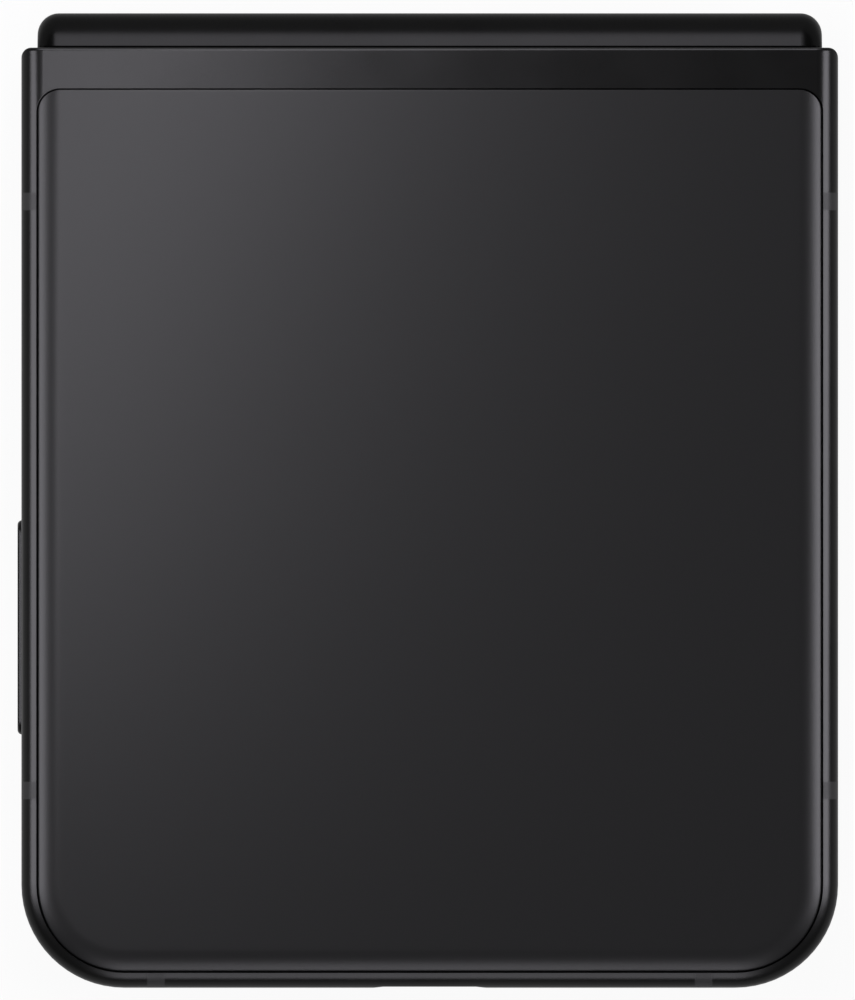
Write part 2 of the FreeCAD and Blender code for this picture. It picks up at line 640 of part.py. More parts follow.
def card_tray():
    """The card tray, its cage and the slot that it slides through."""
    lip = pill(COVER, "tray_lip", "-half_wide", "tray_y - tray_long / 2", "side_middle - tray_high / 2",
               "tray_lip_thick", "tray_long", "tray_high", "tray_round", ACROSS)
    plate = box(COVER, "tray_plate", "-half_wide + tray_lip_thick / 2", "tray_y - tray_plate_long / 2",
                "side_middle - tray_plate_thick / 2", "tray_deep", "tray_plate_long", "tray_plate_thick")
    card = box(COVER, "tray_card_room", "-half_wide + tray_lip_thick + card_start", "tray_y - card_wide / 2",
               "side_middle - overrun", "card_long", "card_wide", "2 * overrun")
    pin_hole = disc(COVER, "tray_pin_hole_cut", "-half_wide - overrun",
                    "tray_y + tray_long / 2 - tray_high", "side_middle", "tray_pin_hole",
                    "tray_lip_thick + 2 * overrun", ALONG_X)
    piece("card_tray", cut("card_tray", fuse("tray_solid", lip, plate), card, pin_hole))
    room = box(COVER, "cage_room", "-cavity_half - overrun", "tray_y - tray_plate_long / 2 - tray_clear",
               "side_middle - tray_plate_thick / 2 - tray_clear",
               "tray_deep + tray_lip_thick - half_wide + cavity_half + overrun + tray_clear",
               "tray_plate_long + 2 * tray_clear", "tray_plate_thick + 2 * tray_clear")
    shell = box(COVER, "cage_shell", "-cavity_half", "tray_y - tray_plate_long / 2 - tray_clear - cage_wall",
                "side_middle - tray_plate_thick / 2 - tray_clear - cage_wall",
                "tray_deep + tray_lip_thick - half_wide + cavity_half + tray_clear + cage_wall",
                "tray_plate_long + 2 * tray_clear + 2 * cage_wall",
                "tray_plate_thick + 2 * tray_clear + 2 * cage_wall")
    piece("card_reader_cage", cut("card_reader_cage", shell, room))
    return pill(COVER, "tray_slot", "-half_wide - overrun", "tray_y - tray_long / 2 - tray_clear",
                "side_middle - tray_high / 2 - tray_clear", "half_wide - cavity_half + 2 * overrun",
                "tray_long + 2 * tray_clear", "tray_high + 2 * tray_clear", "tray_slot_round", ACROSS)


def charging_socket():
    """The charging socket's shell and its contact tongue, and the cuts that let it into the frame."""
    def barrel(name, grow, start, deep, radius):
        return pill(MAIN, name, f"-socket_wide / 2 - ({grow})", start,
                    f"side_middle - socket_high / 2 - ({grow})", f"socket_wide + 2 * ({grow})", deep,
                    f"socket_high + 2 * ({grow})", radius, LENGTHWISE)

    outside = barrel("socket_outside", "0", "far_end + socket_set_in", "socket_deep", "socket_round")
    inside = barrel("socket_inside", "-socket_wall", "far_end + socket_set_in - overrun",
                    "socket_deep + overrun - socket_back_thick", "socket_bore_round")
    piece("socket_shell", cut("socket_shell", outside, inside))
    tongue_start = "far_end + socket_set_in + socket_deep - socket_back_thick - tongue_plate_long"
    piece("socket_tongue", box(MAIN, "socket_tongue", "-tongue_plate_wide / 2", tongue_start,
                               "side_middle - tongue_plate_thick / 2", "tongue_plate_wide",
                               "tongue_plate_long", "tongue_plate_thick"))
    hole = barrel("socket_hole", "socket_clear", "far_end - overrun", "socket_deep + 2 * overrun",
                  "socket_hole_round")
    relief = doc.addObject("Part::Wedge", "socket_relief")
    bind(relief, {
        "Xmin": "-socket_relief_wide / 2 - socket_relief_ease",
        "Xmax": "socket_relief_wide / 2 + socket_relief_ease",
        "X2min": "-socket_relief_wide / 2", "X2max": "socket_relief_wide / 2",
        "Ymin": "0", "Ymax": "socket_relief_deep",
        "Zmin": "-overrun", "Z2min": "-overrun",
        "Zmax": "half_thick + overrun", "Z2max": "half_thick + overrun",
    })
    MAIN.place(relief, "0", "far_end", "0")
    return [hole, relief]


def round_holes(frame, name, places, radius):
    """Round holes through the far wall, for sound."""
    return [
        disc(frame, f"{name}_{number}", x, "far_end - overrun", "side_middle", radius,
             "cavity_far - far_end + 2 * overrun", ALONG_Y)
        for number, x in enumerate(places)
    ]


# The two halves

LEAF_SCREWS = [(f"{sign}tongue_place", "bay_end - leaf_tab_long / 2") for sign in ("-", "")]


def leaf_and_screws(frame):
    """The hinge leaf and the screws that hold it to the frame's middle plate. Returns the screws' holes."""
    label = frame.name + "_leaf_screws"
    foot = "cavity_floor + leaf_tab_thick"
    holes = [
        disc(frame, f"{label}_hole_{number}", x, y, f"{foot} - screw_long - overrun", "screw_shank",
             "screw_long + 2 * overrun")
        for number, (x, y) in enumerate(LEAF_SCREWS)
    ]
    piece(frame.name + "_hinge_leaf", cut(frame.name + "_hinge_leaf", hinge_leaf(frame), *holes))
    solids = []
    for number, (x, y) in enumerate(LEAF_SCREWS):
        head = disc(frame, f"{label}_head_{number}", x, y, foot, "screw_head", "screw_head_thick")
        shank = disc(frame, f"{label}_shank_{number}", x, y, f"{foot} - screw_long", "screw_shank",
                     "screw_long")
        solids.append(fuse(f"{label}_{number}", head, shank))
    piece(label, group(label + "_set", *solids))
    return holes


def main_half():
    """The half with the charging socket and the big cell. It is on top when the phone lies folded."""
    blank = half_blank(MAIN)
    holes = splits(MAIN, blank) + half_hollow(MAIN) + charging_socket() + leaf_and_screws(MAIN)
    grille = [f"sound_hole_place + {number} * sound_hole_gap" for number in range(5)]
    holes += round_holes(MAIN, "loudspeaker_hole", grille, "sound_hole")
    holes += round_holes(MAIN, "microphone_hole", ["-mic_place"], "mic_hole")
    piece("main_frame", cut("main_frame", blank, *holes))
    piece("main_rear_panel", flat_panel(MAIN, "main_rear_panel", "panel_near"))
    piece("main_screen", big_screen(MAIN))
    border(MAIN)
    floor = "cavity_floor + inner_clear"
    piece("main_cell", pill(MAIN, "main_cell", "-main_cell_half", "main_cell_y", floor,
                            "2 * main_cell_half", "main_cell_long", "cell_thick", "cell_round", UPRIGHT))
    ring = disc(MAIN, "coil_outside", "0", "main_cell_y + main_cell_long / 2",
                "recess_floor - coil_thick", "coil_round", "coil_thick")
    hole = disc(MAIN, "coil_inside", "0", "main_cell_y + main_cell_long / 2",
                "recess_floor - coil_thick - overrun", "coil_hole", "coil_thick + 2 * overrun")
    piece("charging_coil", cut("charging_coil", ring, hole))
    piece("sub_board", box(MAIN, "sub_board", "-sub_board_wide / 2", "far_end + sub_board_far", floor,
                           "sub_board_wide", "sub_board_long", "board_thick"))
    piece("loudspeaker", box(MAIN, "loudspeaker", "speaker_side", "far_end + speaker_far", floor,
                             "speaker_wide", "speaker_long", "speaker_thick"))
    piece("buzzer_motor", disc(MAIN, "buzzer_motor", "motor_side - cavity_half", "far_end + motor_far", floor,
                               "motor_round", "motor_thick"))


def cameras(blank_holes):
    """The two outer cameras, each under a glass in a ring, and the lamp beside them."""
    rings, glasses, modules = [], [], []
    for number in range(2):
        y = f"far_end + lens_far + {number} * lens_pitch"
        outside = disc(COVER, f"lens_ring_out_{number}", "lens_x", y, "lens_ring_foot", "lens_round",
                       "lens_ring_tall")
        inside = disc(COVER, f"lens_ring_in_{number}", "lens_x", y, "lens_ring_foot - overrun",
                      "lens_hole", "lens_ring_tall + 2 * overrun")
        rings.append(cut(f"lens_ring_{number}", outside, inside))
        glasses.append(disc(COVER, f"lens_glass_{number}", "lens_x", y,
                            "lens_tip - lens_glass_sink - lens_glass_thick", "lens_hole - slot_clear",
                            "lens_glass_thick"))
        can = box(COVER, f"camera_can_{number}", "lens_x - camera_wide / 2", f"{y} - camera_wide / 2",
                  "lens_ring_foot - camera_deep", "camera_wide", "camera_wide", "camera_deep")
        barrel_tall = "camera_deep / 2 + lens_ring_tall - lens_glass_sink - lens_glass_thick"
        barrel = disc(COVER, f"camera_barrel_{number}", "lens_x", y, "lens_ring_foot - camera_deep / 2",
                      "camera_barrel", barrel_tall)
        modules.append(fuse(f"camera_{number}", can, barrel))
        blank_holes.append(disc(COVER, f"lens_opening_{number}", "lens_x", y, "recess_floor - overrun",
                                "lens_round + slot_clear", "panel_thick + 2 * overrun"))
    piece("lens_rings", group("lens_ring_pair", *rings))
    piece("lens_glasses", group("lens_glass_pair", *glasses))
    piece("outer_cameras", group("camera_pair", *modules))
    lamp_y = "far_end + lens_far + lens_pitch / 2"
    lamp_x = "lens_x - lens_round - 2 * lamp_round"
    piece("camera_lamp", disc(COVER, "camera_lamp", lamp_x, lamp_y, "recess_floor - lamp_round",
                              "lamp_round", "panel_thick + lamp_round"))
    blank_holes.append(disc(COVER, "lamp_opening", lamp_x, lamp_y, "recess_floor - overrun",
                            "lamp_round + slot_clear", "panel_thick + 2 * overrun"))


def cover_half():
    """The half with the outer screen, the cameras, the side keys and the card tray. It is underneath."""
    blank = half_blank(COVER)
    holes = splits(COVER, blank) + half_hollow(COVER) + leaf_and_screws(COVER)
    holes.append(key("volume_key", "volume_y", "volume_long", "half_wide + key_proud",
                     ["volume_dome_place", "-volume_dome_place"]))
    holes.append(key("side_key", "power_y", "power_long", "half_wide - power_sink", ["0"]))
    holes.append(card_tray())
    holes += round_holes(COVER, "upper_microphone_hole", ["-mic_place"], "mic_hole")
    lens_y = "far_end + selfie_far"
    holes.append(disc(COVER, "selfie_hole", "0", lens_y, "0", "punch_hole", "cavity_floor + overrun"))
    piece("cover_frame", cut("cover_frame", blank, *holes))
    openings = []
    cameras(openings)
    window = flat_panel(COVER, "cover_window_blank", "window_near", near_round="seam_round")
    piece("cover_window", cut("cover_window", window, *openings))
    piece("cover_rear_panel",
          flat_panel(COVER, "cover_rear_panel", "panel_near", "rear_panel_far", "seam_round"))
    small_screen = box(COVER, "cover_screen_small", "small_screen_left", "small_screen_y",
                       "recess_floor - cover_screen_thick", "small_screen_right - small_screen_left",
                       "window_near - small_screen_rest - small_screen_y", "cover_screen_thick")
    piece("cover_screen_small", small_screen)
    punched = disc(COVER, "selfie_window", "0", lens_y, "-overrun", "punch_hole",
                   "screen_thick + 2 * overrun")
    piece("cover_screen", cut("cover_screen", big_screen(COVER), punched))
    border(COVER)
    floor = "cavity_floor + inner_clear"
    can = box(COVER, "selfie_can", "-selfie_wide / 2", f"{lens_y} - selfie_wide / 2", floor,
              "selfie_wide", "selfie_wide", "selfie_deep")
    barrel = disc(COVER, "selfie_barrel", "0", lens_y, "screen_thick / 2", "punch_hole - slot_clear",
                  "cavity_floor + selfie_deep / 2")
    piece("front_camera", fuse("front_camera", can, barrel))
    piece("cover_cell", pill(COVER, "cover_cell", "cover_cell_left", "cover_cell_y", floor,
                             "cover_cell_right - cover_cell_left", "cell_end - cover_cell_y", "cell_thick",
                             "cell_round", UPRIGHT))
    board_long = "main_board_end - far_end - main_board_far"
    piece("main_board", box(COVER, "main_board", "-main_board_half", "far_end + main_board_far", floor,
                            "2 * main_board_half", board_long, "board_thick"))
    shield_long = "main_board_end - shield_margin - far_end - shield_far"
    piece("board_shield", box(COVER, "board_shield", "shield_side - main_board_half",
                              "far_end + shield_far", f"{floor} + board_thick", "shield_wide", shield_long,
                              "shield_thick"))
    piece("earpiece", box(COVER, "earpiece", "-earpiece_side - earpiece_wide / 2", "far_end + earpiece_far",
                          floor, "earpiece_wide", "earpiece_long", "earpiece_thick"))


# The hinge spine

SIDES = (("left", "-"), ("right", ""))


def stadium(name, radius, half, start):
    """The spine's rounded section about the two hidden axes, from one Y outwards."""
    ends = [
        disc(SPINE, f"{name}_end_{side}", f"-{half}", "pivot_y", f"{sign}pivot", radius, f"2 * {half}",
             ALONG_X)
        for side, sign in SIDES
    ]
    core = box(SPINE, name + "_core", f"-{half}", "pivot_y", "-pivot", f"2 * {half}", radius, "2 * pivot")
    whole = fuse(name + "_whole", core, *ends)
    whole.Refine = True
    room = box(SPINE, name + "_room", f"-{half}", start, f"-pivot - {radius}",
               f"2 * {half}", f"pivot_y + {radius} - ({start})", f"2 * pivot + 2 * {radius}")
    return common(name, whole, room)


def common(name, first, second):
    thing = doc.addObject("Part::Common", name)
    thing.Base = first
    thing.Tool = second
    return thing


def base_section(name, x, wide):
    """A slice of the hinge's fixed part, with room left for the screen's loop and the swinging leaves."""
    blocks = [box(SPINE, name + "_mid", x, "base_mid_y", "-base_half", wide, "spine_tip - base_mid_y",
                  "2 * base_half")]
    for side, near, horn in (("left", "-base_half", "-horn_far"), ("right", "base_side", "horn_near")):
        blocks.append(box(SPINE, f"{name}_side_{side}", x, "base_side_y", near, wide,
                          "spine_tip - base_side_y", "base_half - base_side"))
        blocks.append(box(SPINE, f"{name}_horn_{side}", x, "horn_y", horn, wide, "spine_tip - horn_y",
                          "horn_far - horn_near"))
    solid = fuse(name + "_blocks", *blocks)
    solid.Refine = True
    return common(name + "_section", solid, stadium(name + "_limit", "base_round", "spine_half", "horn_y"))


def hinge_base(side, sign):
    """A fixed hinge block whose curved slots carry one tongue of each leaf."""
    name = f"hinge_base_{side}"
    start = f"{sign}tongue_place - tongue_wide / 2"
    solid = base_section(name, f"{start} - cheek_wide", "tongue_wide + 2 * cheek_wide")
    slots = [
        sector(SPINE, f"{name}_slot_{end}", f"{start} - 2 * slot_clear", "pivot_y", f"{up}pivot",
               "tongue_in - slot_clear", "tongue_out + slot_clear", "tongue_wide + 4 * slot_clear", 0, 360)
        for end, up in SIDES
    ]
    piece(name, cut(name, solid, *slots))


def spine():
    outside = stadium("spine_outside", "spine_round", "spine_half", "spine_open_y")
    half, opening = size("spine_half"), size("spine_open_y")
    shell = rounded("spine_shell", outside, "spine_end_round",
                    lambda e: near_to(abs(middle(e).x), half) and not near_to(middle(e).y, opening))
    room = stadium("spine_inside", "spine_in_round", "(spine_half - spine_end_thick)",
                   "spine_open_y - overrun")
    notch = box(SPINE, "spine_notch", "-spine_half - overrun", "spine_open_y - overrun",
                "-fold_gap / 2 - screen_thick - loop_clear", "spine_wide + 2 * overrun",
                "base_mid_y - spine_open_y + overrun", "fold_gap + 2 * screen_thick + 2 * loop_clear")
    piece("spine_cover", cut("spine_cover", shell, room, notch))
    for side, sign in SIDES:
        hinge_base(side, sign)
    pin_holes, pins = [], []
    reach = "gear_wide / 2 + gear_side_clear + gear_cheek_wide"
    for name in PINIONS:
        pinion(name, tooth_phases()[name])
        y, out, _ = WHEELS[name]
        for store, word in ((pin_holes, "hole"), (pins, "pin")):
            store.append(disc(SPINE, f"{name}_{word}", f"-({reach})", y, out, "gear_pin", f"2 * ({reach})",
                              ALONG_X))
    piece("gear_pins", group("gear_pin_set", *pins))
    cheeks = [
        cut(f"gear_cheek_{side}", base_section(f"gear_cheek_{side}", start, "gear_cheek_wide"), *pin_holes)
        for side, start in (("left", f"-({reach})"), ("right", "gear_wide / 2 + gear_side_clear"))
    ]
    piece("gear_cheeks", group("gear_cheek_pair", *cheeks))
    piece("screen_fold", sector(SPINE, "screen_fold", "-screen_half", "screen_near", "0", "fold_gap / 2",
                                "fold_gap / 2 + screen_thick", "2 * screen_half", 90, 180))


# The gear train: a toothed sector on each leaf, a pinion beside each sector and two idlers between them

PINIONS = ("main_pinion", "main_idler", "cover_idler", "cover_pinion")
WHEELS = {
    "main_sector": ("pivot_y", "pivot", "sector_teeth"),
    "main_pinion": ("outer_pinion_y", "outer_pinion_out", "pinion_teeth"),
    "main_idler": ("idler_y", "pinion_pitch", "pinion_teeth"),
    "cover_idler": ("idler_y", "-pinion_pitch", "pinion_teeth"),
    "cover_pinion": ("outer_pinion_y", "-outer_pinion_out", "pinion_teeth"),
    "cover_sector": ("pivot_y", "-pivot", "sector_teeth"),
}


def signed(name):
    """The number in a named cell that may have a minus sign before it."""
    return -size(name[1:]) if name.startswith("-") else size(name)


def tooth_phases():
    """An angle, from +Y towards +Z, at which each wheel has a tooth, so that the train is in mesh."""
    phases, before = {}, None
    for name, (y, out, teeth) in WHEELS.items():
        here = (size(y), signed(out), size(teeth))
        if before is not None:
            line = math.degrees(math.atan2(here[1] - before[1], here[0] - before[0]))
            last = phases.get(before_name, line)
            phases[before_name] = last
            phases[name] = line + 180 - (last - line) * before[2] / here[2] + 180 / here[2]
        before, before_name = here, name
    return phases


def teeth_of(name, pitch, angles):
    """Teeth of a wheel at these angles, each a tapered block that starts a little inside the root."""
    y, out, _ = WHEELS[name]
    solids = []
    for number, angle in enumerate(angles):
        radial = FreeCAD.Rotation(ACROSS, angle).multVec(LENGTHWISE)
        thing = doc.addObject("Part::Wedge", f"{name}_tooth_{number}")
        grip = "2 * tooth_root"
        foot = f"tooth_wide / 2 + {grip} * tan(tooth_slope)"
        crest = "tooth_wide / 2 - tooth_tip * tan(tooth_slope)"
        bind(thing, {
            "Ymin": f"{pitch} - {grip}", "Ymax": f"{pitch} + tooth_tip",
            "Xmin": f"-({foot})", "Xmax": foot, "X2min": f"-({crest})", "X2max": crest,
            "Zmin": "-gear_wide / 2", "Z2min": "-gear_wide / 2",
            "Zmax": "gear_wide / 2", "Z2max": "gear_wide / 2",
        })
        upright = FreeCAD.Rotation(radial.cross(ACROSS), radial, ACROSS, "ZYX")
        solids.append(SPINE.place(thing, "0", y, out, upright))
    return solids


def pinion(name, phase):
    y, out, teeth = WHEELS[name]
    step = 360 / size(teeth)
    hub = disc(SPINE, name + "_hub", "-gear_wide / 2", y, out, "pinion_pitch - tooth_root", "gear_wide",
               ALONG_X)
    angles = [phase + step * number for number in range(int(size(teeth)))]
    wheel = fuse(name + "_wheel", hub, *teeth_of(name, "pinion_pitch", angles))
    bore = disc(SPINE, name + "_bore", "-gear_wide / 2 - overrun", y, out, "gear_pin + pin_clear",
                "gear_wide + 2 * overrun", ALONG_X)
    piece(name, cut(name, wheel, bore))



def write_pieces():
    """Stops if any object is at fault, and writes each finished piece to its own file."""
    doc.recompute()
    for thing in doc.Objects:
        if "Invalid" in thing.State or "Error" in thing.State:
            raise RuntimeError(f"{thing.Name} did not recompute")
    os.makedirs(OUT_FOLDER, exist_ok=True)
    for label, thing in PIECES.items():
        shape = thing.Shape
        if shape.isNull() or not shape.isValid():
            raise RuntimeError(f"{label} has no valid shape")
        shape.exportStep(os.path.join(OUT_FOLDER, label + ".step"))


main_half()
cover_half()
spine()
write_pieces()
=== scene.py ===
"""Looks for a black clamshell phone that lies folded shut, seen from straight above.

All lengths are in metres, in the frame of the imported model: +Y points out of the hinge spine and +Z is up.
"""
import json
import math

import bmesh
import bpy
from mathutils import Matrix, Vector


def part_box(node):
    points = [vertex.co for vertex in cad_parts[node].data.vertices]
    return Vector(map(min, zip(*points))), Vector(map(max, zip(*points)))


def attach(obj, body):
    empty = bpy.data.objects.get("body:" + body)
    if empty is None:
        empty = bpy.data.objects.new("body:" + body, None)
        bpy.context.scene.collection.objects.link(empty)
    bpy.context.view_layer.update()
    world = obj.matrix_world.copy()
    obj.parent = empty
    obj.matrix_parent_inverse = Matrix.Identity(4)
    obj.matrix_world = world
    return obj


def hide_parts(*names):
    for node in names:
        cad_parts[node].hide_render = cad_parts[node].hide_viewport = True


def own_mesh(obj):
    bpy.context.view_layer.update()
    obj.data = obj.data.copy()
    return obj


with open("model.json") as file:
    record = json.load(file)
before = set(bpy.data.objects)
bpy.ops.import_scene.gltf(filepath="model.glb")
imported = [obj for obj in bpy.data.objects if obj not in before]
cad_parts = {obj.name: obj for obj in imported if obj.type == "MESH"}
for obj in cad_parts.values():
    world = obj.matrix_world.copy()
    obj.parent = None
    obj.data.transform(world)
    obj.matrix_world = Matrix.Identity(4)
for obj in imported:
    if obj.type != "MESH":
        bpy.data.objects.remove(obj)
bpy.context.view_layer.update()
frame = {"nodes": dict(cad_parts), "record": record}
nodes = frame["nodes"]
scene = bpy.context.scene
scene.view_settings.view_transform = "Standard"

MM = 0.001

# Where the photograph shows the body, in pixels
PHOTO_WIDE, PHOTO_TALL = 855, 1000
BODY_WIDE_PIXELS = 816.7
BODY_MIDDLE_PIXEL, SPINE_TOP_PIXEL = 429.75, 13.28

# The hidden axis of each half: its Y, and how far it lies from the plane between the halves
HINGE_PIVOT = (38.005 * MM, 2.075 * MM)
# How thick the bent strip of the screen is
SCREEN_THICK = 0.5 * MM
RIM_ROUND = 1.9 * MM
SPINE_END_ROUND = 1.9 * MM

SHARP_ANGLE = math.radians(32)
WHITE = (1.0, 1.0, 1.0)
NOISE_MEAN = 0.5


# Shader expressions

class Value:
    """A node socket that takes part in Python sums: each sum adds one Math node."""

    def __init__(self, tree, socket):
        self.tree = tree
        self.socket = socket

    def _math(self, operation, first, second):
        return self.tree.node("ShaderNodeMath", {"operation": operation}, {0: first, 1: second})

    def __add__(self, other):
        return self._math("ADD", self, other)

    def __radd__(self, other):
        return self._math("ADD", other, self)

    def __sub__(self, other):
        return self._math("SUBTRACT", self, other)

    def __rsub__(self, other):
        return self._math("SUBTRACT", other, self)

    def __mul__(self, other):
        return self._math("MULTIPLY", self, other)

    def __rmul__(self, other):
        return self._math("MULTIPLY", other, self)

    def above(self, edge):
        return self._math("GREATER_THAN", self, edge)

    def wave(self):
        return self._math("SINE", self, 0.0)


class Nodes:
    """A node tree, with one way to add a node to it."""

    def __init__(self, tree):
        self.tree = tree

    def node(self, kind, settings=None, sockets=None, out=0):
        """Adds a node, with its settings first, then values or links for its sockets."""
        made = self.tree.nodes.new(kind)
        for key, value in (settings or {}).items():
            setattr(made, key, value)
        for key, value in (sockets or {}).items():
            self.feed(made.inputs[key], value)
        return Value(self, made.outputs[out])

    def feed(self, socket, value):
        """Gives a socket a link or a constant. A colour has three parts, and is opaque."""
        if isinstance(value, Value):
            self.tree.links.new(value.socket, socket)
        elif socket.type == "RGBA":
            socket.default_value = (*value, 1.0)
        else:
            socket.default_value = value

    def rays(self, kind):
        """One for this kind of ray, and zero for the rest."""
        return self.node("ShaderNodeLightPath", out=f"Is {kind} Ray")

    def blend(self, factor, first, second):
        return self.node("ShaderNodeMixShader", sockets={0: factor, 1: first, 2: second})


class Paint(Nodes):
    """One material and the nodes behind its Principled shader."""

    def __init__(self, name, **settings):
        self.material = bpy.data.materials.new(name)
        self.material.use_nodes = True
        super().__init__(self.material.node_tree)
        self.shader = self.tree.nodes["Principled BSDF"]
        for socket, value in settings.items():
            self.set(socket.replace("_", " "), value)

    def set(self, socket, value):
        self.feed(self.shader.inputs[socket], value)

    def place(self):
        """Object coordinates, in metres."""
        return self.node("ShaderNodeTexCoord", out="Object")

    def along(self, axis):
        """One coordinate of the place on the object: 0, 1 or 2 for X, Y or Z."""
        return self.node("ShaderNodeSeparateXYZ", sockets={0: self.place()}, out=axis)

    def noise(self, size, detail, stretch=(1.0, 1.0, 1.0)):
        """Noise whose grains are about this many metres across."""
        spread = self.node("ShaderNodeMapping", {"vector_type": "POINT"},
                           {"Vector": self.place(), "Scale": stretch})
        return self.node("ShaderNodeTexNoise",
                         sockets={"Vector": spread, "Scale": 1 / size, "Detail": detail})

    def tint(self, factor, low, high):
        """A colour that runs from low to high with the factor."""
        return self.node("ShaderNodeMix", {"data_type": "RGBA"}, {0: factor, 6: low, 7: high}, out=2)

    def mottle(self, noise, colour, dark, light):
        """Sets a colour that runs from a darker to a lighter share of itself with the noise."""
        low, high = (tuple(min(part * share, 1.0) for part in colour) for share in (dark, light))
        self.set("Base Color", self.tint(noise, low, high))

    def bump(self, height, depth, strength):
        """Small relief, this many metres deep."""
        self.set("Normal", self.node("ShaderNodeBump", sockets={"Height": height, "Distance": depth,
                                                                "Strength": strength}))


def swing(noise, span):
    """Noise about zero, over about this span."""
    return (noise - NOISE_MEAN) * span


def grey(level, blue=0.0):
    """A dark grey, a little blue where asked."""
    return (level, level, level * (1 + blue))


# Finishes, one function each

def satin_metal(name, level, rough, edge=0.45):
    """Black anodised metal with a fine blasted grain. Edge is how bright it stays where it turns away."""
    paint = Paint(name, Metallic=1.0, Specular_Tint=grey(edge))
    cloud = paint.noise(6 * MM, detail=3.0)
    fine = paint.noise(0.04 * MM, detail=2.0)
    paint.mottle(cloud, grey(level), dark=0.88, light=1.12)
    paint.set("Roughness", rough + swing(fine, 0.10) + swing(cloud, 0.04))
    paint.bump(fine, depth=0.0006 * MM, strength=0.35)
    return paint.material


def frosted_glass(name, level, rough):
    """Etched glass over a dark backing: soft sheen with a very fine sparkle."""
    paint = Paint(name, IOR=1.52)
    cloud = paint.noise(18 * MM, detail=2.0)
    fine = paint.noise(0.03 * MM, detail=2.0)
    paint.mottle(cloud, grey(level, blue=0.08), dark=0.94, light=1.06)
    paint.set("Roughness", rough + swing(fine, 0.08))
    paint.bump(fine, depth=0.0005 * MM, strength=0.3)
    return paint.material


def polished_glass(name, level):
    """Clear glass over black, wiped clean but not perfectly."""
    paint = Paint(name, IOR=1.52, Coat_Weight=0.3, Coat_Roughness=0.02)
    smear = paint.noise(9 * MM, detail=4.0, stretch=(1.0, 2.4, 1.0))
    paint.mottle(smear, grey(level, blue=0.25), dark=0.9, light=1.1)
    paint.set("Roughness", 0.05 + smear * 0.05)
    return paint.material


def clear_glass(name):
    """Clear glass, with the faintest smears on it."""
    paint = Paint(name, Base_Color=(0.93, 0.95, 1.0), IOR=1.45, Transmission_Weight=1.0)
    smear = paint.noise(2 * MM, detail=4.0, stretch=(1.0, 2.0, 1.0))
    paint.set("Roughness", smear * 0.04)
    return paint.material


def moulded_plastic(name, colour, rough, shine=0.5):
    """Moulded plastic with a spark-eroded surface."""
    paint = Paint(name, Specular_IOR_Level=shine)
    fine = paint.noise(0.08 * MM, detail=3.0)
    cloud = paint.noise(5 * MM, detail=2.0)
    paint.mottle(cloud, colour, dark=0.9, light=1.1)
    paint.set("Roughness", rough + swing(fine, 0.16))
    paint.bump(fine, depth=0.003 * MM, strength=0.5)
    return paint.material


def brushed_metal(name, colour, rough):
    """Machined metal with fine lines along X."""
    paint = Paint(name, Metallic=1.0)
    lines = paint.noise(0.5 * MM, detail=3.0, stretch=(1.0, 14.0, 14.0))
    paint.mottle(lines, colour, dark=0.82, light=1.14)
    paint.set("Roughness", rough + swing(lines, 0.2))
    paint.bump(lines, depth=0.002 * MM, strength=0.4)
    return paint.material


def soft_rubber(name, level):
    paint = Paint(name, Specular_IOR_Level=0.3)
    fine = paint.noise(0.12 * MM, detail=4.0)
    paint.mottle(fine, grey(level), dark=0.8, light=1.2)
    paint.set("Roughness", 0.7 + fine * 0.2)
    paint.bump(fine, depth=0.004 * MM, strength=0.5)
    return paint.material


def matt_black(name):
    """Matt black that hardly gives back any light, used for painted shade in dark gaps."""
    paint = Paint(name, Specular_IOR_Level=0.0)
    fine = paint.noise(0.1 * MM, detail=3.0)
    paint.mottle(fine, grey(0.002), dark=0.75, light=1.25)
    paint.set("Roughness", 0.8 + fine * 0.2)
    return paint.material


def folding_screen(name):
    """The dark folding screen under its soft film: a little orange peel, and a faint blue cast."""
    paint = Paint(name, IOR=1.5, Coat_Weight=0.25, Coat_Roughness=0.05)
    peel = paint.noise(1.6 * MM, detail=2.0)
    paint.set("Base Color", paint.tint(peel, grey(0.006, blue=0.3), grey(0.008, blue=0.3)))
    paint.set("Roughness", 0.09 + peel * 0.05)
    paint.bump(peel, depth=0.0012 * MM, strength=0.3)
    return paint.material


def printed_board(name):
    """Green circuit board with pale lines under its lacquer."""
    paint = Paint(name, Coat_Weight=0.2)
    pitch = 0.9 * MM
    lines = (paint.along(0) * (2 * math.pi / pitch)).wave()
    broken = paint.noise(2.2 * MM, detail=1.0)
    trace = lines.above(0.75) * broken.above(NOISE_MEAN)
    paint.set("Base Color", paint.tint(trace, (0.012, 0.07, 0.035), (0.03, 0.16, 0.08)))
    paint.set("Roughness", 0.4 - trace * 0.1)
    return paint.material


def cell_wrap(name):
    """Dark foil wrap with faint creases."""
    paint = Paint(name, Metallic=0.6)
    crease = paint.noise(3 * MM, detail=5.0, stretch=(1.0, 0.35, 1.0))
    paint.set("Base Color", paint.tint(crease, grey(0.03), grey(0.07)))
    paint.set("Roughness", 0.35 + crease * 0.2)
    paint.bump(crease, depth=0.02 * MM, strength=0.4)
    return paint.material


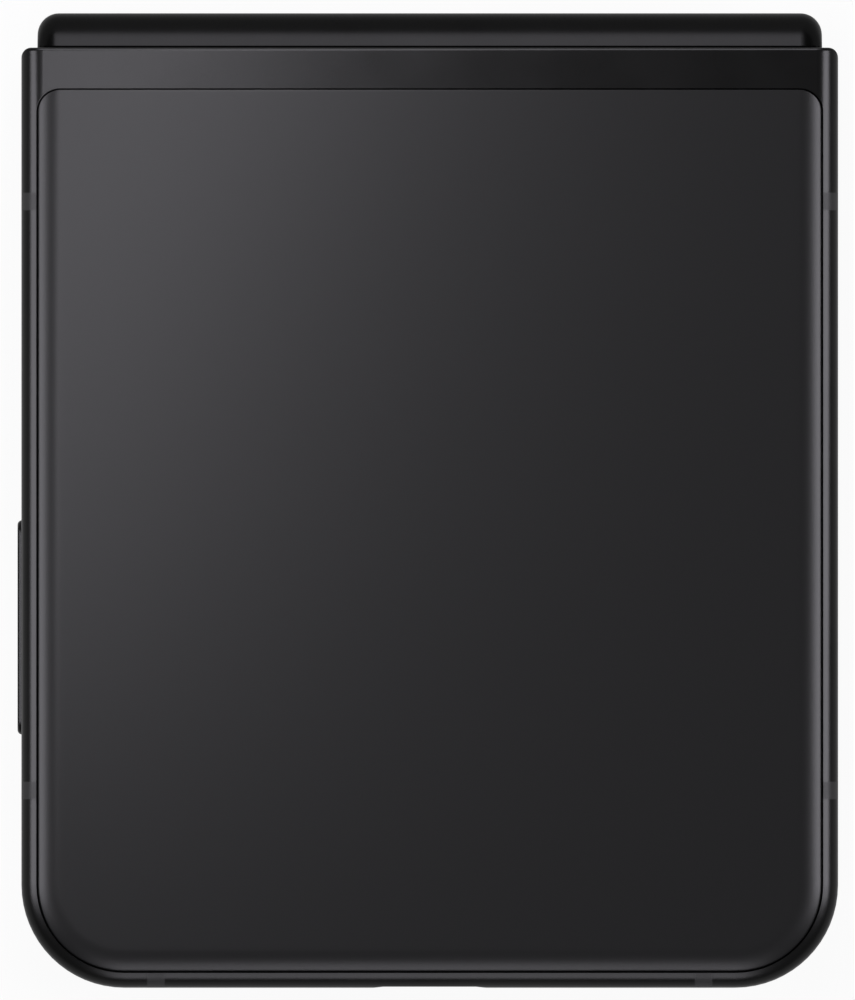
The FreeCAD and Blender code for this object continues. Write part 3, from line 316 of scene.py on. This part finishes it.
# One finish for each slot of the record
FINISHES = {
    "frame_metal": satin_metal("black_frame_metal", level=0.033, rough=0.29, edge=1.0),
    "spine_metal": satin_metal("black_spine_metal", level=0.0165, rough=0.28, edge=0.6),
    "lens_metal": satin_metal("lens_ring_metal", level=0.10, rough=0.26),
    "split_plastic": moulded_plastic("antenna_plastic", grey(0.024), rough=0.4, shine=0.36),
    "rear_glass": frosted_glass("frosted_black_glass", level=0.004, rough=0.355),
    "window_glass": polished_glass("black_window_glass", level=0.006),
    "lens_glass": clear_glass("lens_cover_glass"),
    "lamp": moulded_plastic("lamp_diffuser", (0.80, 0.77, 0.62), rough=0.3),
    "camera_body": moulded_plastic("camera_body", grey(0.015), rough=0.5),
    "screen": folding_screen("folding_screen"),
    "border_plastic": moulded_plastic("screen_border", grey(0.014), rough=0.55),
    "bumper_rubber": soft_rubber("soft_stop_rubber", level=0.02),
    "cell_wrap": cell_wrap("cell_foil"),
    "board": printed_board("circuit_board"),
    "shield_metal": brushed_metal("shield_can", (0.62, 0.61, 0.58), rough=0.35),
    "copper": brushed_metal("coil_copper", (0.72, 0.34, 0.16), rough=0.3),
    "module_plastic": moulded_plastic("module_plastic", grey(0.03), rough=0.5),
    "motor_metal": brushed_metal("motor_case", (0.55, 0.55, 0.54), rough=0.3),
    "socket_metal": brushed_metal("socket_shell_metal", (0.14, 0.14, 0.15), rough=0.32),
    "socket_tongue": moulded_plastic("socket_tongue_plastic", grey(0.012), rough=0.45),
    "screw_metal": brushed_metal("screw_metal", (0.30, 0.30, 0.31), rough=0.3),
    "hinge_steel": brushed_metal("hinge_steel", (0.40, 0.40, 0.41), rough=0.3),
    "gear_steel": brushed_metal("gear_steel", (0.50, 0.49, 0.46), rough=0.28),
}

# Two finishes that only the scene's own pieces have: a matt black for painted shade in gaps, and gold for
# the contacts
PAINTED_SHADE_BLACK = matt_black("painted_shade_black")
CONTACT_GOLD = brushed_metal("contact_gold", (0.78, 0.55, 0.24), rough=0.25)


def dress_nodes():
    """Gives every solid of the frame the finish of its slot."""
    for part in frame["record"]["subparts"]:
        mesh = nodes[part["node"]].data
        mesh.materials.clear()
        mesh.materials.append(FINISHES[part["material_slot"]])


# Mesh helpers

def finish_piece(name, shape, body, slot, replaced=(), finish=None, faceted=False):
    """Turns a shape's points and faces into a piece that rides on a body."""
    points, faces = shape
    mesh = bpy.data.meshes.new(name)
    mesh.from_pydata([tuple(p) for p in points], [], faces)
    mesh.validate()
    skin = bmesh.new()
    skin.from_mesh(mesh)
    bmesh.ops.recalc_face_normals(skin, faces=skin.faces)
    skin.to_mesh(mesh)
    skin.free()
    if faceted:
        mesh.shade_flat()
    else:
        mesh.shade_smooth()
        mesh.set_sharp_from_angle(angle=SHARP_ANGLE)
    thing = bpy.data.objects.new(name, mesh)
    scene.collection.objects.link(thing)
    mesh.materials.append(finish or FINISHES[slot])
    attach(thing, body)
    if replaced:
        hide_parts(*replaced)
    return thing


def loft(rings, hoop=False):
    """A skin over closed rings of equal length, capped, or joined end to end as a hoop."""
    count, rows = len(rings[0]), len(rings)
    points = [p for ring in rings for p in ring]
    faces = []
    for row in range(rows if hoop else rows - 1):
        low, high = row * count, (row + 1) % rows * count
        for i in range(count):
            j = (i + 1) % count
            faces.append((low + i, low + j, high + j, high + i))
    if not hoop:
        faces.append(tuple(reversed(range(count))))
        faces.append(tuple(range((rows - 1) * count, rows * count)))
    return points, faces


def bar(section, stations):
    """A straight bar along X. The section is a row of (y, z) pairs, set at each station."""
    return loft([[Vector((x, y, z)) for y, z in section] for x in stations])


def together(shapes):
    """Several skins as one."""
    points, faces = [], []
    for more_points, more_faces in shapes:
        start = len(points)
        points += more_points
        faces += [tuple(start + i for i in face) for face in more_faces]
    return points, faces


def lathe(middle, profile, steps):
    """Rings of (radius, height) pairs about an upright line through middle."""
    angles = [2 * math.pi * i / steps for i in range(steps)]
    return [
        [middle + Vector((radius * math.cos(a), radius * math.sin(a), height)) for a in angles]
        for radius, height in profile
    ]


def panel_ring(low, high, rounds, insets, levels):
    """A phone-shaped ring inside a box seen from above.

    Rounds are those of the far (-Y) and near (+Y) corners. Insets and levels are those of the far edge, the
    two sides and the near edge.
    """
    steps, least_round = 14, 0.01 * MM
    ring = []
    for right, near, start in ((1, 0, -90), (1, 1, 0), (0, 1, 90), (0, 0, 180)):
        end = 2 * near
        across = max(rounds[near] - insets[1], least_round)
        along = max(rounds[near] - insets[end], least_round)
        x = high.x - insets[1] - across if right else low.x + insets[1] + across
        y = high.y - insets[end] - along if near else low.y + insets[end] + along
        for step in range(steps + 1):
            a = math.radians(start + 90 * step / steps)
            level = levels[1] + (levels[end] - levels[1]) * math.sin(a) ** 2
            ring.append(Vector((x + across * math.cos(a), y + along * math.sin(a), level)))
    return ring


# Pieces with finer shapes than the solids

def curved_back(name, node, body, rounds, shares, outward):
    """A rear glass that curves down at its sides, and over a share of that width at its far and near edges.

    Outward is +1 for a back that faces up and -1 for one that faces down. A matt-black seal fills the foot
    of the
    gap round the glass: partly the dark adhesive there, partly painted shade for the shadowed gap.
    """
    low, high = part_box(node)
    face, root = (high.z, low.z) if outward > 0 else (low.z, high.z)
    wide, tilt, steps = 2.0 * MM, math.radians(27), 12
    bend = wide / math.sin(tilt)
    foot_inset, foot_rise = 0.06 * MM, 0.05 * MM
    edge_inset, edge_drop = 0.03 * MM, 0.05 * MM
    flat_starts = (0.5 * MM, 2.0 * MM)
    far, near = shares

    def ring(inset, drop):
        levels = [face - outward * drop * share ** 2 for share in (far, 1.0, near)]
        return panel_ring(low, high, rounds, (inset * far, inset, inset * near), levels)

    def flat(inset, rise):
        return panel_ring(low, high, rounds, (inset,) * 3, (root + outward * rise,) * 3)

    rings = [flat(foot_inset, 0.0), flat(0.0, foot_rise)]
    rings.append(ring(0.0, bend * (1 - math.cos(tilt)) + edge_drop))
    for step in range(steps + 1):
        a = tilt * (1 - step / steps)
        rings.append(ring(edge_inset + bend * (math.sin(tilt) - math.sin(a)), bend * (1 - math.cos(a))))
    rings += [ring(wide + start, 0.0) for start in flat_starts]
    finish_piece(name, loft(rings), body, "rear_glass", (node,))

    # Matt-black ring in the gap round the glass: the adhesive there, and painted shade for the gap's shadow
    inner, outer, foot, top = -0.005 * MM, -0.13 * MM, 0.005 * MM, 0.06 * MM
    seal_and_shade = [flat(outer, foot), flat(outer, top), flat(inner, top), flat(inner, foot)]
    finish_piece(name + "_seal_and_shade", loft(seal_and_shade, hoop=True), body, "bumper_rubber", finish=PAINTED_SHADE_BLACK)


def folding_loop():
    """The bent middle of the folding screen, drawn as it is when the phone is shut, on a mesh of its own.

    A small lip on each half closes the screen beside it.
    """
    low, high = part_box("screen_fold")
    middle = (low.z + high.z) / 2
    start = low.y
    outer = (high.z - low.z) / 2
    inner = outer - SCREEN_THICK
    steps = 48
    turn = [math.radians(-90 + 180 * i / steps) for i in range(steps + 1)]
    section = [(start + outer * math.cos(a), middle + outer * math.sin(a)) for a in turn]
    section += [(start + inner * math.cos(a), middle + inner * math.sin(a)) for a in reversed(turn)]
    strip = bar(section, (low.x, low.x / 2, 0.0, high.x / 2, high.x))
    loop = finish_piece("folding_screen_loop", strip, "hinge_spine", "screen", ("screen_fold",))
    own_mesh(loop)

    clear, thick, tip_drop = 0.005 * MM, 0.25 * MM, 0.03 * MM
    back, tip = start - 0.002 * MM, start + 0.42 * MM
    for name, body, side in (("main_screen_lip", "main_half", 1), ("cover_screen_lip", "cover_half", -1)):
        near = middle + side * (inner + clear)
        deep = near + side * thick
        lip = [(back, near), (back, deep), (tip, deep), (tip, near + side * tip_drop)]
        finish_piece(name, bar(lip, (low.x, 0.0, high.x)), body, "screen", faceted=True)


def spine_shade_strips():
    """Two matt-black strips along the spine, each under a half's hinge edge and showing a little past it:
    painted shade for the dark gap line there.
    """
    low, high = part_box("spine_cover")
    middle = (low.z + high.z) / 2
    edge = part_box("main_frame")[1].y
    pivot_y, pivot_rise = HINGE_PIVOT
    spine_round = high.y - pivot_y
    half = high.x - SPINE_END_ROUND
    covered, shown, sunk, raised, steps = 0.6 * MM, 0.17 * MM, 0.02 * MM, 0.03 * MM, 8
    end_turn = [math.radians(a) for a in (0, 20, 40, 60)]
    ends = [(half + SPINE_END_ROUND * math.sin(a), SPINE_END_ROUND * (1 - math.cos(a))) for a in end_turn]
    stations = [(-x, drop) for x, drop in reversed(ends)] + [(0.0, 0.0)] + ends

    def section(side, x, reach):
        """A ring of the strip on one side of the middle plane, where the spine's round has this reach."""
        start, end = (math.asin((y - pivot_y) / reach) for y in (edge - covered, edge + shown))
        turn = [start + (end - start) * i / steps for i in range(steps + 1)]
        arcs = [(reach - sunk, a) for a in turn] + [(reach + raised, a) for a in reversed(turn)]
        return [Vector((x, pivot_y + r * math.sin(a), middle + side * (pivot_rise + r * math.cos(a))))
                for r, a in arcs]

    strips = [loft([section(side, x, spine_round - drop) for x, drop in stations]) for side in (1, -1)]
    # Painted shade: black strips where the gap under each hinge edge lies in shadow
    finish_piece("spine_painted_shade_strips", together(strips), "hinge_spine", "bumper_rubber", finish=PAINTED_SHADE_BLACK)


# The stepped cone behind a lens pane: radii, and depths under the pane
LENS_CONE = [
    (3.3 * MM, 0.01 * MM), (3.2 * MM, 0.03 * MM), (3.1 * MM, 0.16 * MM),
    (2.7 * MM, 0.17 * MM), (2.6 * MM, 0.30 * MM), (2.2 * MM, 0.31 * MM),
]


def camera_lenses():
    """Two cameras behind clear glass: a black mask, a stepped cone and a domed front lens."""
    low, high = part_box("lens_rings")
    glass_low, glass_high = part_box("lens_glasses")
    ring_round = (high.x - low.x) / 2
    middles = [Vector(((low.x + high.x) / 2, y, 0.0)) for y in (low.y + ring_round, high.y - ring_round)]
    reach = (glass_high.x - glass_low.x) / 2
    front, back = glass_low.z, glass_high.z - 0.01 * MM
    core, pane_thick, mask_gap = 0.05 * MM, 0.14 * MM, 0.01 * MM
    under = front + pane_thick
    pane = [(core, front), (0.7 * reach, front + 0.005 * MM), (reach - 0.15 * MM, front + 0.02 * MM),
            (reach, front + 0.06 * MM), (reach, under), (core, under)]
    mask = [(reach, under + mask_gap)]
    mask += [(radius, under + depth) for radius, depth in LENS_CONE]
    mask += [(2.1 * MM, back), (reach, back)]
    dome_round, dome_rise, dome_foot = 2.08 * MM, 0.26 * MM, 0.02 * MM
    turn = [math.radians(a) for a in (2, 15, 30, 45, 60, 75, 90)]
    dome = [(dome_round * math.sin(a), back - dome_foot - dome_rise * math.cos(a)) for a in turn]
    dome.append((dome_round, back))
    for name, slot, profile, hoop, replaced in (
            ("lens_cover_glasses", "lens_glass", pane, False, ("lens_glasses",)),
            ("lens_masks", "camera_body", mask, True, ()),
            ("lens_domes", "window_glass", dome, False, ())):
        shape = together(loft(lathe(middle, profile, 72), hoop) for middle in middles)
        finish_piece(name, shape, "cover_half", slot, replaced)


def lamp_lens():
    """The lamp's window, with ring-shaped ridges that spread its light."""
    low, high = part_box("camera_lamp")
    middle = Vector(((low.x + high.x) / 2, (low.y + high.y) / 2, 0.0))
    reach, front = (high.x - low.x) / 2, low.z
    core, crest, groove, step_wide = 0.03 * MM, 0.05 * MM, 0.12 * MM, 0.02 * MM
    ridges, first_share, pitch_share = 6, 0.08, 0.14
    profile = [(core, front + crest)]
    for ridge in range(ridges):
        inner = reach * (first_share + pitch_share * ridge)
        profile += [(inner, front + groove), (inner + step_wide, front + crest)]
    profile += [(reach - 0.1 * MM, front), (reach, front + 0.06 * MM), (reach, high.z), (core, high.z)]
    finish_piece("lamp_window", loft(lathe(middle, profile, 56)), "cover_half", "lamp", ("camera_lamp",))


def socket_contacts():
    """Twelve contact strips on each face of the charging socket's tongue."""
    low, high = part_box("socket_tongue")
    middle = (low.x + high.x) / 2
    count, pitch = 12, 0.5 * MM
    first, last = low.y + 0.35 * MM, low.y + 3.0 * MM
    half_wide, top_half, sunk, shoulder, top = 0.13 * MM, 0.09 * MM, -0.05 * MM, 0.01 * MM, 0.03 * MM
    strips = []
    for face, out in ((high.z, 1), (low.z, -1)):
        for number in range(count):
            x = middle + (number - (count - 1) / 2) * pitch
            strip = []
            for wide, rise in ((half_wide, sunk), (half_wide, shoulder), (top_half, top)):
                start, end, level = first - wide, last + wide, face + out * rise
                strip.append([Vector(p) for p in ((x - wide, start, level), (x + wide, start, level),
                                                  (x + wide, end, level), (x - wide, end, level))])
            strips.append(loft(strip))
    finish_piece("socket_contacts", together(strips), "main_half", "copper",
                 finish=CONTACT_GOLD, faceted=True)


dress_nodes()
curved_back("main_back_glass", "main_rear_panel", "main_half",
            rounds=(7.63 * MM, 2.0 * MM), shares=(1.0, 0.13), outward=1)
curved_back("cover_back_glass", "cover_rear_panel", "cover_half",
            rounds=(0.7 * MM, 2.0 * MM), shares=(0.13, 0.13), outward=-1)
folding_loop()
spine_shade_strips()
camera_lenses()
lamp_lens()
socket_contacts()


# Stage, lights and camera

LAMP_COLOUR = (0.99, 0.967, 1.043)
PHONE_MIDDLE = (0.0, 0.0, 0.01)
ALONG_X, ALONG_Y = (1.0, 0.0, 0.0), (0.0, 1.0, 0.0)


def pale_floor():
    """A white floor that reads as the white background, duller in reflections, with a light shadow."""
    reach, clear = 4.0, 0.02 * MM
    glow_share, reflected_loss = 0.93, 0.6
    corners = [(-reach, -reach, 0), (reach, -reach, 0), (reach, reach, 0), (-reach, reach, 0)]
    mesh = bpy.data.meshes.new("floor")
    mesh.from_pydata(corners, [], [(0, 1, 2, 3)])
    floor = bpy.data.objects.new("floor", mesh)
    floor.location.z = -clear
    scene.collection.objects.link(floor)
    paint = Paint("white_floor", Base_Color=grey(0.86), Roughness=0.9)
    reflected = paint.rays("Glossy")
    seen = paint.rays("Camera") + reflected + paint.rays("Transmission")
    glow = paint.node("ShaderNodeEmission", sockets={"Color": 1.0 - reflected * reflected_loss})
    lit = Value(paint, paint.shader.outputs[0])
    paint.feed(paint.tree.nodes["Material Output"].inputs[0], paint.blend(seen * glow_share, lit, glow))
    mesh.materials.append(paint.material)


def white_room(level):
    """Even light from all round. The camera sees it as white."""
    world = bpy.data.worlds.new("white_room")
    scene.world = world
    world.use_nodes = True
    room = Nodes(world.node_tree)
    fill = room.node("ShaderNodeBackground", sockets={"Color": WHITE, "Strength": level})
    white = room.node("ShaderNodeBackground", sockets={"Color": WHITE})
    room.feed(room.tree.nodes["World Output"].inputs[0], room.blend(room.rays("Camera"), fill, white))


def softbox(name, place, wide, tall, brightness, aim=PHONE_MIDDLE, along=ALONG_X, shown=True):
    """A rectangular light at a place, turned to its aim, with its wide side along a direction."""
    light = bpy.data.lights.new(name, "AREA")
    light.shape = "RECTANGLE"
    light.size, light.size_y = wide, tall
    light.energy = brightness * math.pi * wide * tall
    light.color = LAMP_COLOUR
    back = (Vector(place) - Vector(aim)).normalized()
    side = Vector(along)
    side = (side - back * side.dot(back)).normalized()
    turn = Matrix((side, back.cross(side), back)).transposed()
    lamp = bpy.data.objects.new(name, light)
    lamp.matrix_world = Matrix.Translation(Vector(place)) @ turn.to_4x4()
    lamp.visible_camera = shown
    scene.collection.objects.link(lamp)


def camera_above():
    """A long lens that looks straight down, so that the body has the photograph's place and size."""
    distance, sensor, far_clip, spine_widest = 3.5, 36.0, 50.0, 2.1 * MM
    low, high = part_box("main_frame")
    spine_low, spine_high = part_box("spine_cover")
    widest = high.z - RIM_ROUND
    spine_drop = widest - (spine_low.z + spine_high.z) / 2 - spine_widest
    pixels = BODY_WIDE_PIXELS / (high.x - low.x)
    camera = bpy.data.cameras.new("camera")
    camera.sensor_width = sensor
    camera.lens = sensor * distance * pixels / PHOTO_TALL
    camera.clip_end = far_clip
    eye = bpy.data.objects.new("camera", camera)
    x = (PHOTO_WIDE / 2 - BODY_MIDDLE_PIXEL) / pixels
    y = spine_high.y - (PHOTO_TALL / 2 - SPINE_TOP_PIXEL) / pixels * (1 + spine_drop / distance)
    eye.location = (x, y, widest + distance)
    scene.collection.objects.link(eye)
    scene.camera = eye


pale_floor()
white_room(0.14)
softbox("key_over_left", (-0.0313, 0.0416, 0.1372), wide=0.147, tall=0.0258, brightness=5.1,
        aim=(-0.0128, -0.0311, 0.0372), along=(0.195, 0.981, 0.0), shown=False)
softbox("side_left", (-0.485, 0.0, 0.365), wide=0.22, tall=0.32, brightness=5.6, along=ALONG_Y)
softbox("side_right", (0.485, 0.0, 0.365), wide=0.22, tall=0.32, brightness=6.4, along=ALONG_Y)
softbox("far_end_light", (0.0, -0.485, 0.365), wide=0.22, tall=0.32, brightness=2.5)
softbox("hinge_light", (-0.05, 0.52, 0.30), wide=0.36, tall=0.43, brightness=3.2)
camera_above()
